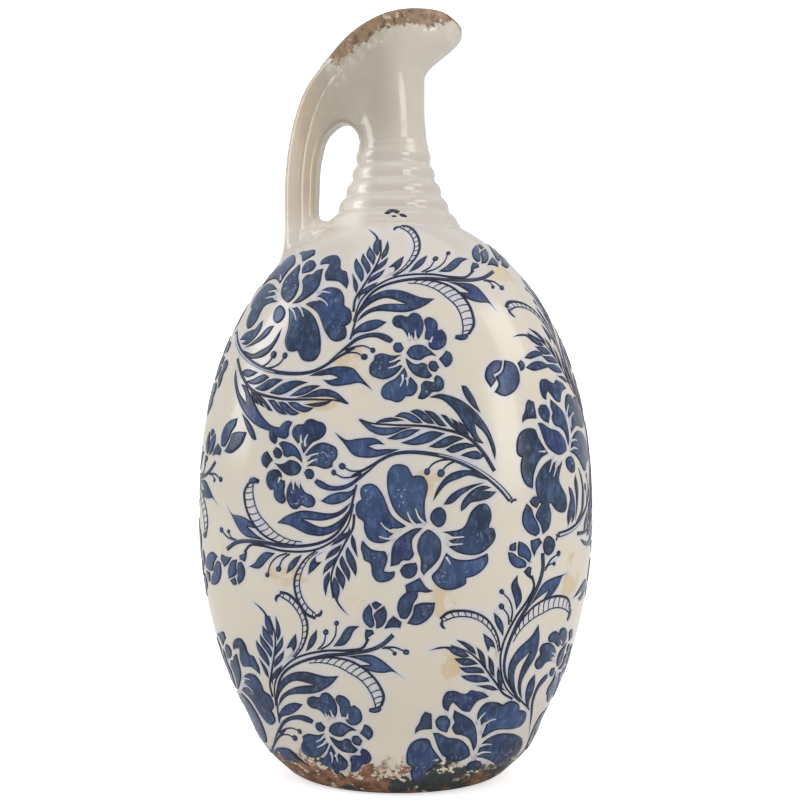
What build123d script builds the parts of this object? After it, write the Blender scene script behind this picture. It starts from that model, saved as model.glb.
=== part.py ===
from build123d import *
import os
from math import cos, copysign, pi, sin, sqrt

# Pottery jug vase: a flattened, egg-shaped body on a shallow foot, a ribbed neck collar, a swept
# pouring spout and a strap handle.  Lengths are in millimetres.  +Z is up, +X points to the
# pouring lip, -X to the handle, and Y runs through the flattened faces.  The origin is the centre
# of the foot, on the table.

# ---- driving dimensions -------------------------------------------------------------------
BODY_WIDTH = 202.0          # widest, from the handle side to the lip side
BODY_DEPTH = 144.0          # widest, from the front face to the back face
FOOT_WIDTH = 104.0
FOOT_DEPTH = 96.0
WIDEST_HEIGHT = 135.0       # height of the widest section
SHOULDER_HEIGHT = 282.0     # where the neck collar sits on the body
COLLAR_TOP = 323.0
NECK_BASE_RADIUS = 33.5
NECK_TOP_RADIUS = 17.5
BORE_RADIUS = 11.5          # clear bore at the top of the collar
BORE_BASE_RADIUS = 22.0     # bore where the collar meets the body
WALL = 6.0                  # clay wall of body and collar
LIP_WALL = 4.8              # clay wall of the spout

# ---- shape of the body --------------------------------------------------------------------
SQUARENESS = 2.5            # superellipse exponent of the widest section; 2 is an ellipse
SHOULDER_POWER_X = 2.25     # how full the shoulder is, seen from the front
SHOULDER_POWER_Y = 2.7      # how full the shoulder is, seen from the side
BASE_THICKNESS = 7.0
BASE_ROUNDING = 5.0
RECESS_DEPTH = 1.5          # the underside is hollowed a little inside a foot ring
FOOT_RING_WIDTH = 9.0
BODY_SECTIONS = 12
OUTLINE_POINTS = 24
SLAB_SECTIONS = 3
SHARE_POWER = 4             # how late the section turns from squarish to elliptic

# ---- neck collar --------------------------------------------------------------------------
RING_COUNT = 5
RING_BULGE = 1.1            # how far each ring stands out of the collar's flare
FLARE_POWER = 1.6

# ---- spout: how its outline grows from the collar's circle --------------------------------
SPOUT_TOP = 393.0           # the untrimmed spout ends above its rim
SPOUT_SECTIONS = 12
WAIST_NARROWING = 1.2       # the spout draws in a little above the collar
LIP_REACH = 35.8            # from the axis to the pouring lip
HANDLE_SIDE_REACH = 40.0    # from the axis to the lip over the handle, before trimming
LIP_HALF_WIDTH = 25.5
WAIST_HEIGHT = 343.0        # the narrowest level, where the wall has also thinned to the lip's
WIDENING_START = 335.0      # the outline starts to grow towards the front and the back
WIDENING_END = 390.0
LIP_CURL_START = 357.0      # the pouring lip starts to lean out
LIP_CURL_END = 382.0
HANDLE_SIDE_END = 375.0     # the handle side stops leaning out
# the rim's arch, seen from the front, from the handle side over the crest to the lip
RIM_ARCH = (
    (-48.0, 352.0), (-34.8, 366.8), (-12.1, 383.4), (2.6, 389.2),
    (18.0, 391.0), (30.0, 389.6), (38.0, 384.0),
)

# ---- handle, in the X-Z plane -------------------------------------------------------------
HANDLE_WIDTH = 17.0         # along Y
HANDLE_EDGE = 4.5           # rounding of the strap's long edges
HANDLE_OUTER = (
    (-23.5, 373.6), (-34.8, 365.6), (-43.0, 357.6), (-48.8, 347.0),
    (-53.9, 331.5), (-56.8, 312.0), (-57.3, 285.0), (-57.4, 255.0),
)
HANDLE_INNER = (
    (-40.4, 262.0), (-40.4, 300.0), (-38.2, 319.0),
    (-32.6, 332.0), (-25.8, 336.4), (-14.0, 331.0),
)


def half_span(z, span, foot_span, neck_radius, shoulder_power):
    """Half of the body's width or depth at height z."""
    half = span / 2
    if z <= WIDEST_HEIGHT:
        reach = WIDEST_HEIGHT / sqrt(1 - (foot_span / span) ** 2)
        return half * sqrt(1 - ((WIDEST_HEIGHT - z) / reach) ** 2)
    neck_share = (1 - (neck_radius / half) ** 2) ** (1 / shoulder_power)
    reach = (SHOULDER_HEIGHT - WIDEST_HEIGHT) / neck_share
    return half * sqrt(1 - ((z - WIDEST_HEIGHT) / reach) ** shoulder_power)


def body_outline(z, inset, neck_radius):
    """Closed outline of the body at height z, moved inwards by inset."""
    a = half_span(z, BODY_WIDTH - 2 * inset, FOOT_WIDTH - 2 * inset, neck_radius, SHOULDER_POWER_X)
    b = half_span(z, BODY_DEPTH - 2 * inset, FOOT_DEPTH - 2 * inset, neck_radius, SHOULDER_POWER_Y)
    if z <= WIDEST_HEIGHT:
        share = (WIDEST_HEIGHT - z) / WIDEST_HEIGHT
    else:
        share = (z - WIDEST_HEIGHT) / (SHOULDER_HEIGHT - WIDEST_HEIGHT)
    exponent = 2 + (SQUARENESS - 2) * (1 - share ** SHARE_POWER)
    points = []
    for i in range(OUTLINE_POINTS):
        angle = 2 * pi * i / OUTLINE_POINTS
        x = a * copysign(abs(cos(angle)) ** (2 / exponent), cos(angle))
        y = b * copysign(abs(sin(angle)) ** (2 / exponent), sin(angle))
        points.append((x, y, z))
    return Wire([Edge.make_spline(points, periodic=True)])


def body_solid(low, high, inset, neck_radius, sections=BODY_SECTIONS):
    """The egg-shaped solid between two heights."""
    heights = []
    for i in range(sections):
        share = i / (sections - 1)
        heights.append(low + (high - low) * (1 - cos(pi * share)) / 2)
    return Solid.make_loft([body_outline(z, inset, neck_radius) for z in heights])


def half_space(side):
    """A large block on one side of the seam plane Y = 0; side is -1 for front, +1 for back."""
    reach = 2 * BODY_WIDTH
    return Pos(0, side * reach / 2, SHOULDER_HEIGHT / 2) * Box(2 * reach, reach, 2 * reach)


def make_body_halves():
    """The two press-moulded halves of the hollow body, which meet at the seam plane."""
    outer = body_solid(BASE_THICKNESS, SHOULDER_HEIGHT, 0, NECK_BASE_RADIUS)
    inner = body_solid(BASE_THICKNESS, SHOULDER_HEIGHT, WALL, BORE_BASE_RADIUS)
    shell = outer - inner
    return shell & half_space(-1), shell & half_space(1)


def make_base_slab():
    """The foot slab: rounded at the table and hollowed slightly inside the foot ring."""
    slab = body_solid(0, BASE_THICKNESS, 0, NECK_BASE_RADIUS, sections=SLAB_SECTIONS)
    slab = fillet(slab.edges().group_by(Axis.Z)[0], BASE_ROUNDING)
    recess_outline = Face(body_outline(0, FOOT_RING_WIDTH, NECK_BASE_RADIUS))
    return slab - extrude(recess_outline, RECESS_DEPTH, dir=(0, 0, 1))


def flare(z):
    """Outer radius of the collar at height z, without its rings."""
    share = (COLLAR_TOP - z) / (COLLAR_TOP - SHOULDER_HEIGHT)
    return NECK_TOP_RADIUS + (NECK_BASE_RADIUS - NECK_TOP_RADIUS) * share ** FLARE_POWER


def make_neck_collar():
    """A flared tube with rounded rings thrown into its outside."""
    pitch = (COLLAR_TOP - SHOULDER_HEIGHT) / RING_COUNT
    edges = []
    for i in range(RING_COUNT):
        low = SHOULDER_HEIGHT + i * pitch
        high = low + pitch
        middle = (low + high) / 2
        crown = (flare(low) + flare(high)) / 2 + RING_BULGE
        edges.append(ThreePointArc((flare(low), 0, low), (crown, 0, middle), (flare(high), 0, high)))
    top_inner = (BORE_RADIUS, 0, COLLAR_TOP)
    bottom_inner = (BORE_BASE_RADIUS, 0, SHOULDER_HEIGHT)
    edges.append(Line((NECK_TOP_RADIUS, 0, COLLAR_TOP), top_inner))
    edges.append(Line(top_inner, bottom_inner))
    edges.append(Line(bottom_inner, (NECK_BASE_RADIUS, 0, SHOULDER_HEIGHT)))
    return revolve(Face(Wire(edges)), Axis.Z)


def ease(z, low, high):
    """A smooth step that rises from 0 at the low height to 1 at the high height."""
    share = min(max((z - low) / (high - low), 0), 1)
    return share * share * (3 - 2 * share)


def spout_outline(z, inset):
    """Closed egg-shaped outline of the spout at height z, moved inwards by inset."""
    waist = NECK_TOP_RADIUS - WAIST_NARROWING * ease(z, COLLAR_TOP, WAIST_HEIGHT)
    lip_reach = waist + (LIP_REACH - waist) * ease(z, LIP_CURL_START, LIP_CURL_END)
    handle_reach = waist + (HANDLE_SIDE_REACH - waist) * ease(z, COLLAR_TOP, HANDLE_SIDE_END)
    half_width = waist + (LIP_HALF_WIDTH - waist) * ease(z, WIDENING_START, WIDENING_END)
    points = []
    for i in range(OUTLINE_POINTS):
        angle = 2 * pi * i / OUTLINE_POINTS
        reach = lip_reach if cos(angle) > 0 else handle_reach
        points.append(((reach - inset) * cos(angle), (half_width - inset) * sin(angle), z))
    return Wire([Edge.make_spline(points, periodic=True)])


def spout_solid(bore_inset, lip_inset):
    """The filled spout, moved inwards by an inset that eases from the collar to the lip."""
    outlines = []
    for i in range(SPOUT_SECTIONS):
        z = COLLAR_TOP + (SPOUT_TOP - COLLAR_TOP) * i / (SPOUT_SECTIONS - 1)
        inset = bore_inset + (lip_inset - bore_inset) * ease(z, COLLAR_TOP, WAIST_HEIGHT)
        outlines.append(spout_outline(z, inset))
    return Solid.make_loft(outlines)


def under_the_arch():
    """Everything between the collar and the rim's arch, as a thick upright slab."""
    first, last = RIM_ARCH[0], RIM_ARCH[-1]
    arch = Spline(*[(x, 0, z) for x, z in RIM_ARCH])
    right, left = (last[0], 0, last[1]), (first[0], 0, first[1])
    sides = Polyline(right, (last[0], 0, COLLAR_TOP), (first[0], 0, COLLAR_TOP), left)
    return extrude(Face(Wire([arch] + list(sides.edges()))), BODY_DEPTH / 2, dir=(0, 1, 0), both=True)


def make_spout():
    """The open pouring spout: a flared shell trimmed by the rim's arch."""
    outer = spout_solid(0, 0) & under_the_arch()
    inner = spout_solid(NECK_TOP_RADIUS - BORE_RADIUS, LIP_WALL)
    return outer, outer - inner


def make_handle(spout_filled):
    """The strap handle, trimmed to the body, the collar and the spout that it is luted to."""
    outer = Spline(*[(x, 0, z) for x, z in HANDLE_OUTER])
    inner = Spline(*[(x, 0, z) for x, z in HANDLE_INNER])
    foot = Line(outer @ 1, inner @ 0)
    root = Line(inner @ 1, outer @ 0)
    strap = extrude(Face(Wire([outer, foot, inner, root])), HANDLE_WIDTH / 2, dir=(0, 1, 0), both=True)
    long_edges = []
    for edge in strap.edges():
        if edge.geom_type == GeomType.BSPLINE:
            long_edges.append(edge)
    strap = fillet(long_edges, HANDLE_EDGE)
    body = body_solid(BASE_THICKNESS, SHOULDER_HEIGHT, 0, NECK_BASE_RADIUS)
    return strap - body - spout_filled


os.makedirs("parts", exist_ok=True)
body_front, body_back = make_body_halves()
spout_filled, spout = make_spout()
PIECES = {
    "body_front": body_front,
    "body_back": body_back,
    "base_slab": make_base_slab(),
    "neck_collar": make_neck_collar(),
    "spout": spout,
    "handle": make_handle(spout_filled),
}
for name, piece in PIECES.items():
    export_step(piece, f"parts/{name}.step")
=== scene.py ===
import math
import random

import bpy
import numpy as np
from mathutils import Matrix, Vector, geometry, kdtree


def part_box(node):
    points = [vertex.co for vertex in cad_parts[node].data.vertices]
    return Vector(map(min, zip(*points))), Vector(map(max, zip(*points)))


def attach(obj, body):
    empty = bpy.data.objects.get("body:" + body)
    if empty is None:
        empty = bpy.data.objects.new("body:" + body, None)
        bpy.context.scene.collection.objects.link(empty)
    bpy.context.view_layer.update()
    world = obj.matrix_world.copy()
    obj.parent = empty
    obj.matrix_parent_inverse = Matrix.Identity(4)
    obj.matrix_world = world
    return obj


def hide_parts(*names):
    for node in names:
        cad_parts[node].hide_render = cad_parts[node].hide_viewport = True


# A talavera-style jug vase dressed on its CAD frame.  Shapes are worked out in millimetres, in the
# row frame, and turned into metres when a mesh is made.  One spray of flowers is drawn once, on the
# unrolled glaze, and is then placed several times round the body.

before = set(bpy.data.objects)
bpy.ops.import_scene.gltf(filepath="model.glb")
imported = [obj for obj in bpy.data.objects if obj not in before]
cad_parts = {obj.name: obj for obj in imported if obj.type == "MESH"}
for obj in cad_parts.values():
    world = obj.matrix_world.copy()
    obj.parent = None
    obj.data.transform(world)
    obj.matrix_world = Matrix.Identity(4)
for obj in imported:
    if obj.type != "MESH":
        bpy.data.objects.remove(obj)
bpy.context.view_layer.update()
random.seed(7)

MM = 0.001


def box_mm(node):
    """Lowest and highest corner of a CAD node, in millimetres."""
    low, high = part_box(node)
    return np.array(low) / MM, np.array(high) / MM


FRONT_LOW, FRONT_HIGH = box_mm("body_front")
COLLAR_LOW, COLLAR_HIGH = box_mm("neck_collar")
SPOUT_LOW, SPOUT_HIGH = box_mm("spout")
HANDLE_LOW, HANDLE_HIGH = box_mm("handle")

# ---- sizes of the body, taken from the frame's boxes --------------------------------------
HALF_WIDTH = (FRONT_HIGH[0] - FRONT_LOW[0]) / 2
HALF_DEPTH = -FRONT_LOW[1]
SHOULDER = FRONT_HIGH[2]
NECK_RADIUS = COLLAR_HIGH[0]
WIDEST = SHOULDER * 135 / 282
FOOT_HALF_WIDTH = HALF_WIDTH * 52 / 101
FOOT_HALF_DEPTH = HALF_DEPTH * 48 / 72
FOOT_SWELL, FOOT_SWELL_HEIGHT, FOOT_SWELL_SPREAD = 2.5, 16.0, 10.5
POWER_X = 2.25
POWER_Y = 2.7
SQUARENESS = 2.5
SHARE_POWER = 4

# ---- the drawing of one spray -------------------------------------------------------------
# One spray of the decoration, in millimetres on the unrolled glaze: x along the girth, y up.
# Petals and leaves are closed outlines; the drawing function turns a sharp turn into a point.
PEONY = (
    ((30.2, 0.9), (29.4, 5.2), (29.4, 10.2), (30.5, 19.7), (28.7, 22.6), (25.9, 23.2), (23.7, 22.8),
     (20.7, 27.6), (13.9, 27.8), (11.7, 24.8), (11.2, 20.5), (13.1, 10.2), (15.3, 5.8), (22.9, 0.5)),
    ((20.5, -0.9), (14.4, 3.4), (8.5, 15.2), (6.3, 18), (3.7, 19.2), (-1.5, 17), (-1.8, 14.2),
     (-1.1, 11.7), (-3.3, 10.2), (-3.2, 3.2), (-0.2, 0.6), (-0.1, -2), (2.4, -7.6), (9.2, -9.1),
     (12.5, -7.8), (12.1, -6), (14.5, -4.6), (11.7, -3.6), (13.7, -2.2), (17.7, -2.1)),
    ((-0.9, -7.8), (3.9, -12.1), (7.6, -12.8), (10.2, -13.1), (11.2, -15.2), (9.4, -22.4),
     (11.5, -22.8), (14.7, -22.4), (14.5, -24.8), (12.3, -26.8), (5.5, -27.1), (3.9, -24.8),
     (2.5, -18.7), (-0.1, -17.4), (-0.9, -14.7), (-1.7, -11.5)),
    ((28.2, -1.7), (25, -1.8), (20.8, -3.6), (14.5, -8.9), (12.6, -20.2), (17.1, -18.7), (18.2, -17.4),
     (21.6, -17.2), (24, -14.2), (23.2, -11), (23.2, -7.8)),
    ((30.9, -2.4), (33.5, -3.8), (36.1, -6.5), (36.7, -14.2), (28.5, -24.2), (27.4, -22.6),
     (27.1, -16.8), (25.5, -11), (28.2, -4.1)),
    ((18.7, -19.5), (25, -18.1), (25.6, -21.1), (24.5, -24.2), (21.9, -25.8), (18.7, -25), (17, -22.1)),
    ((31.7, 3.3), (33.5, 7), (36.7, 8.2), (38.8, 6.5), (38, -0.4), (36.1, -1.4), (33.2, 0.1)),
    ((37.7, -3.6), (47.3, -1.5), (52, 7), (55.2, 9.4), (58.4, 9.6), (60.2, 7.5), (61, 3.8),
     (59.6, -1.7), (61.8, -2), (62.9, -4.7), (55.7, -13.9), (44.1, -13.1), (40.4, -10.6), (43.5, -9.8),
     (40.3, -7.7), (43.3, -6.9), (41, -4.9)),
    ((39.3, -13.4), (42.5, -15.8), (51.5, -16.6), (58.9, -13.9), (59.3, -16.8), (52, -24.8),
     (48.6, -25.6), (48.6, -27.9), (45.7, -30), (37.2, -30.8), (33.5, -27.9), (32.2, -24.8),
     (35.1, -21.1)),
    ((26.6, -25.3), (30.9, -30.8), (33, -31.6), (30, -32.5), (26.1, -32.2), (22.9, -32.7), (20, -32.2),
     (19.5, -29)),
)
SIDE_FLOWER = (
    ((-30.2, 33.2), (-31.5, 37), (-31.2, 40), (-33.2, 37.8), (-36.4, 43), (-35.6, 45.6), (-33.2, 47.3),
     (-30.6, 47.4), (-29, 49.2), (-26.3, 50), (-23.2, 48.9), (-20.3, 48), (-18.7, 45.6), (-19.4, 42.4),
     (-22, 40.1), (-25.2, 38.7)),
    ((-38.5, 49.1), (-36.2, 48.3), (-38, 44.2), (-38, 42), (-39.4, 40.4), (-44.3, 41), (-44.3, 38.8),
     (-45.6, 37.5), (-47.7, 38.8), (-49, 41.5), (-48.6, 44.2), (-46.5, 45.6), (-43.4, 45.8),
     (-41.6, 47.6)),
    ((-43.5, 37.8), (-42, 39), (-39, 38.8), (-35.5, 37.5), (-31, 30.8), (-30.7, 28.7), (-36, 32),
     (-39, 31.3), (-40.8, 32.3), (-41.3, 34.5)),
    ((-46.8, 34), (-45, 36.2), (-42.8, 35.4), (-41.4, 32.8), (-42.6, 30.8), (-45, 30.9)),
    ((-49.8, 34.2), (-46.5, 29.8), (-48.5, 28), (-50, 25.8), (-52, 27), (-53.2, 30.5), (-52, 33)),
    ((-45.7, 28.5), (-42.5, 28), (-40.3, 28.6), (-38, 30), (-32.5, 28.4), (-31, 26.3), (-32.5, 23.8),
     (-39, 22.8), (-42, 25)),
    ((-46, 25.5), (-43.5, 25.2), (-41.5, 22.5), (-42, 20.5), (-40, 20), (-39.8, 18.5), (-40.3, 14.5),
     (-39.5, 10.2), (-41, 8.9), (-43.5, 9.5), (-46, 12.5), (-46, 15.7), (-48, 15.3), (-50, 18),
     (-49.3, 23.8)),
    ((-32.5, 20), (-29, 14.5), (-25.5, 13), (-24, 10.5), (-25, 8), (-28, 7.2), (-31.5, 8.2),
     (-33.5, 6.5), (-36, 6.6), (-38.5, 9.5), (-38.5, 17), (-36.8, 19.8), (-35.5, 17.2), (-34.4, 19.6),
     (-33.4, 17)),
    ((-29.4, 32.4), (-27, 35.5), (-20, 38.7), (-16.5, 37.8), (-13.5, 36), (-13.5, 31), (-15.3, 29),
     (-15.5, 27), (-18, 26), (-25, 27.3), (-28.8, 27), (-26.2, 28.8), (-28.6, 29.8), (-26.2, 31.4)),
    ((-30, 24), (-28.4, 25.9), (-25.8, 25.6), (-24.6, 23.4), (-25.6, 21.2), (-28.4, 21)),
)
LEAVES = (
    # the forked leaf over the main stem, and the leaf that carries the side flower
    ((-14.5, 43.5), (-8, 39.9), (-3, 40.6), (6.5, 40.3), (10.2, 37.6), (6.5, 37.9), (2.2, 36.9),
     (6, 35.5), (11, 35.7), (17.3, 35.5), (12, 33.4), (0, 31.4), (-4.5, 32.3), (-10, 38.3)),
    ((-24.8, 19.6), (-23.3, 21.2), (-21, 20.3), (-17, 18.3), (-8, 19), (-3, 22.3), (8, 29.6), (-2, 21),
     (-7, 17.3), (-23.5, 18.2)),
    ((-21.5, 10.6), (-17, 13.5), (-12, 15), (-7, 15.5), (-3.5, 18), (-5, 14.5), (-17, 9)),
    # the long forked leaf
    ((-44.3, -0.5), (-40, 2.8), (-33, 5.5), (-12.5, 5.8), (-6.5, 10), (-9, 6), (-19, 1.4),
     (-30.5, 1.6), (-20, -1.8), (-10.5, 3), (-7, 7), (-9, 2), (-12, -2), (-21, -6.2), (-27, -5.8),
     (-39, -1.2)),
    # the forked leaf beside the ladder horn
    ((-75.6, 6.7), (-71, 2.5), (-67, 2.3), (-58, -1.5), (-56, -3.8), (-61.5, -3), (-54, -7.8),
     (-50, -9.3), (-56, -8.8), (-62, -8)),
    ((-61, -22.5), (-57.5, -20.5), (-55, -17.5), (-51.5, -15), (-45.5, -15.2), (-49, -18),
     (-55.5, -23.3)),
    ((-31, -15.3), (-35, -17), (-38, -20), (-39.7, -25), (-36, -22.5)),
    ((-19.5, -13), (-27, -19), (-28.3, -25), (-25, -22.5), (-21, -18.5), (-24, -18.8), (-24.2, -16.8)),
    # the big slit leaf and the small dark leaf over the side fern
    ((31, 60.2), (36, 61.8), (42, 60.6), (61.5, 40.5), (63.2, 34), (62.8, 30.2), (57.5, 43),
     (52.8, 47.5), (54.2, 42.5), (57.3, 38), (54, 38.8), (50.5, 43), (42, 55), (37, 59)),
    ((46.3, 65.8), (48.2, 65.6), (50.8, 62.6), (55.8, 52.5), (52, 55.5), (47, 63)),
    # three leaves beside the cut end of the stem
    ((33.2, 11), (34.5, 15.5), (42, 24.3), (54, 24.8), (60, 20.5), (56, 21.5), (50, 23), (45.5, 21.5),
     (40.5, 19.5)),
    ((38, 9.3), (41, 13.5), (51, 18.5), (58, 19.8), (52, 17.2), (47.5, 14.4), (41, 9.5)),
    ((46.3, 6), (46.5, 9.5), (49, 13.5), (58, 18.2), (61, 17.2), (57, 15.8), (63.5, 15.2), (60, 12.2),
     (55, 10.8), (51, 10), (48.5, 7.5)),
)
FERN = (
    ((-7.3, -1), (-8, -3.5), (-12, -5.5), (-16.5, -10.8), (-12, -9), (-6.8, -3.5)),
    ((-11, -9.8), (-18, -14.5), (-19.5, -17.8), (-12, -12.5)),
    ((-13.5, -15.5), (-19.8, -21), (-20.7, -24.8), (-14.5, -18.5)),
    ((-17.2, -23), (-19.8, -26), (-20.5, -30), (-19.5, -35.3), (-18.3, -30), (-17.2, -26.5)),
    ((-6, -5), (-4.5, -7.5), (-3.9, -11), (-3.2, -16.5), (-6.6, -8.5)),
    ((-8, -11), (-4, -19), (-3.8, -23), (-4.5, -25.2), (-9, -16), (-9, -12.5)),
    ((-10.8, -15.2), (-9, -19), (-7, -23.5), (-7.8, -28), (-11.8, -16.5)),
    ((-13.5, -20), (-9.5, -27), (-10.7, -32), (-14.4, -24)),
    ((-15, -25.5), (-13, -28.5), (-12.5, -33), (-13.4, -37), (-11.6, -40.2), (-8.6, -44),
     (-12.4, -40.6), (-16, -28)),
)
SIDE_FERN = (
    ((-3, 49.6), (4, 43.5), (9, 42), (15, 43), (19, 44.7), (24, 45.9), (18, 46), (5, 46.6), (0, 48.9)),
    ((5, 47.8), (8, 49.6), (13, 50.7), (20, 49.2)),
    ((14.5, 51), (18, 53), (27, 49.5), (28.4, 47.8), (24, 48), (20, 50)),
    ((22, 53.5), (25, 54.5), (32, 50.2), (34, 47.4), (30, 47.9), (26, 51)),
    ((28.5, 54), (32, 53.6), (40, 46.2), (36, 46.6), (33, 49.5)),
    ((36.5, 52), (39, 51.6), (42, 48.5), (46, 45), (48, 42.4), (43, 45)),
    ((41.2, 50.3), (44, 48.9), (47.5, 45.4), (49.2, 42), (45.6, 44.6)),
    ((45, 49), (48.4, 46.4), (50.5, 41.5), (48.2, 43.4)),
    ((11, 40.5), (22, 45), (27.5, 44.9), (20, 40.8), (15, 40)),
    ((17.5, 38.6), (22, 40), (33, 44.2), (39, 43), (30, 38.3), (24, 37.4)),
    ((31, 36.8), (43, 42), (48, 40.5), (44, 38.8), (39, 36.4), (35, 36)),
    ((39, 35.3), (43, 37.6), (48, 38.6), (55, 36.8), (50, 36), (41, 34)),
    ((46, 32.5), (50, 34.3), (54, 34.6), (57.5, 32), (56, 31)),
)
# Stems taper between widths along a smooth line: (points, first width, last width).
STEMS = (
    (((70.5, 11), (66, 16.2), (33, 33.2), (15, 33.3), (1, 26.2), (-6, 22.6)), 2.6, 0.9),
    (((62.5, 25), (56.5, 34.5), (50.5, 40.5), (35, 45.6), (12, 47.2), (3, 48), (-2.4, 49.8)), 1.7, 0.5),
    (((-4.8, 4.5), (-5.5, -2), (-8.5, -7.5), (-16.7, -28), (-15.8, -36)), 1.1, 0.5),
    (((-3.6, 18.5), (-8.5, 2.5), (-13, -4.2), (-40, -11.6), (-51, -10.4), (-70, -11.6), (-76, -15)), 0.8, 1.9),
    (((-5, 9.5), (-8.5, -1.5), (-21, -11.6), (-42, -13.8), (-53, -11.9), (-60, -12), (-63.8, -15.6)), 0.6, 1.1),
    (((70.5, 9.8), (71.8, 11), (73.4, 11.2)), 0.9, 0.9),
    (((41, 30.8), (36, 30), (32.5, 28), (30.8, 25.6)), 0.8, 0.5),
    (((43.5, 29.8), (40, 28), (37.4, 25.2)), 0.8, 0.5),
    (((2, 26.6), (-3, 25), (-7, 25.3), (-9.6, 26.8)), 0.8, 0.4),
    (((-1, 23.8), (-6, 22.2), (-10.5, 22), (-14, 23.6)), 0.8, 0.4),
    (((-70, -9.9), (-75.5, -8.8), (-79, -6.4)), 0.9, 0.5),
    (((-69, -9.8), (-72.5, -8.8), (-74.2, -6.8)), 0.6, 0.4),
    (((-39, -15), (-44.5, -17), (-48.2, -20.6), (-49.8, -25)), 0.7, 0.4),
    (((-37.5, -15.2), (-41.5, -18), (-43.4, -21.8)), 0.7, 0.4),
)
BERRIES = (
    (30.4, 24.9, 1.6), (37, 24.2, 1.9), (-10.6, 27.3, 1.7), (-14.8, 24.3, 1.4), (-80, -5.6, 1.5),
    (-74.4, -6, 1.1), (-50.2, -26, 1.3), (-43.8, -22.8, 1.5),
)
# A ladder horn is a curved band between a strong outer edge and a thin inner one.
HORNS = (
    (((-61, 18.2), (-63.5, 13.5), (-63, 8.5), (-53, -6), (-41, -10.5), (-34, -11)),
     ((-58, 18.6), (-58.2, 15), (-54.5, 3.5), (-50, -1), (-46, -4.5), (-37, -8.6), (-31, -9.4)), 13,
     ((-61.2, 17.6), (-60, 20.6), (-57, 21.2), (-54.2, 20.2), (-54.6, 18.4), (-58, 18.2))),
    (((-25, -46.2), (-29, -44.6), (-33, -39.6), (-35.4, -28), (-29, -17), (-24, -13.4)),
     ((-25, -43.9), (-28.2, -41.4), (-32.9, -31), (-27.4, -17.2), (-23, -13.8)), 12,
     ((-25.4, -44.4), (-23.2, -43.6), (-22, -41.8), (-21.4, -42.6), (-22.6, -45.2), (-25.2, -45.4))),
)
# A scrap of the pattern on the collar: along its girth from the front, and up from its foot.
COLLAR_MARK = (
    ((1.8, 4.5), (4.3, 6.5), (7.9, 6.7), (10.4, 5.6), (8.8, 4.3), (6.2, 5.2), (4.6, 4.1)),
    ((9.3, 4.1), (11.8, 4.3), (16, 0.5), (13.5, 1.5), (11, 2.6)),
    ((5.4, 3.2), (7.9, 3.4), (9, 2.3), (6.5, 2.1)),
)
# A round bud with two small leaves, in the front's own frame.
EXTRA_BUD = (
    ((57.6, 69.5), (58.6, 74.6), (62.4, 77.8), (66.4, 77.6), (65.2, 73), (61.8, 70.8), (63.4, 68.2),
     (60.6, 64.6)),
    ((67.4, 77.9), (72.2, 76.6), (75.6, 67.2), (72.4, 62.4), (67.4, 60.4), (62.4, 62.4), (64.4, 66.4),
     (62.8, 69.8), (66.2, 72.4)),
    ((74.6, 76.6), (76.6, 77.9), (78.6, 76.2), (78.4, 73.6), (76.4, 72.4)),
    ((79.2, 74.2), (83.5, 76.8), (90.5, 77.2), (96, 74.6), (90, 73.4), (84, 72.6)),
    ((78.6, 79), (82.4, 81.8), (87.6, 82.6), (92, 80.6), (86.6, 79.4), (82.4, 78.4)),
)
# A bud, about its own centre, with its crown up.
BUD = (
    ((-3.4, 5.7), (-5.6, 2.2), (-6, -0.8), (-4.3, -4.3), (-1.7, -6), (-0.1, -5.1), (-0.1, -2.1),
     (-1.3, 0.9), (-1.7, 3.5)),
    ((0.2, 2.4), (4, 5.9), (5.6, 2.7), (3.8, -4.5), (1.2, -5.9), (0.6, -2.1), (-0.7, 0.8)),
    ((-2.3, 6.1), (-0.4, 7.4), (2.9, 6.3), (0.2, 3.3), (-1.2, 4.2)),
    ((-3.9, -6.9), (-0.4, -6.7), (0.5, -8.5), (-2.1, -10.7), (-3.4, -12.6), (-4.1, -9.5)),
)

# ---- the unrolled glaze -------------------------------------------------------------------


def half_span(z, half, foot_half, power):
    """Half of the body's width or depth at height z."""
    fall = WIDEST / math.sqrt(1 - (foot_half / half) ** 2)
    rise = (SHOULDER - WIDEST) / (1 - (NECK_RADIUS / half) ** 2) ** (1 / power)
    below = np.sqrt(1 - (np.clip(WIDEST - z, 0, WIDEST) / fall) ** 2)
    above = np.sqrt(1 - (np.clip(z - WIDEST, 0, SHOULDER - WIDEST) / rise) ** power)
    swell = FOOT_SWELL * np.exp(-((z - FOOT_SWELL_HEIGHT) / FOOT_SWELL_SPREAD) ** 2)
    return half * np.where(z < WIDEST, below, above) + swell


def body_point(theta, z, inset=0.0):
    """Points of the body at angle theta and height z, moved inwards level by inset."""
    half_x = half_span(z, HALF_WIDTH, FOOT_HALF_WIDTH, POWER_X) - inset
    half_y = half_span(z, HALF_DEPTH, FOOT_HALF_DEPTH, POWER_Y) - inset
    share = np.where(z < WIDEST, (WIDEST - z) / WIDEST, (z - WIDEST) / (SHOULDER - WIDEST))
    power = 2 + (SQUARENESS - 2) * (1 - share ** SHARE_POWER)
    cosine, sine = np.cos(theta), np.sin(theta)
    radius = ((np.abs(cosine) / half_x) ** power + (np.abs(sine) / half_y) ** power) ** (-1 / power)
    return np.stack([radius * cosine, radius * sine, z + 0 * radius], -1)


LEVELS = np.linspace(0, SHOULDER, 283)
TURNS = np.linspace(-0.5, 0.5, 721)         # shares of the girth, 0 at the middle of the front
FRONT_ANGLE = -math.pi / 2
SLOPE_STEP = 0.4


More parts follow.
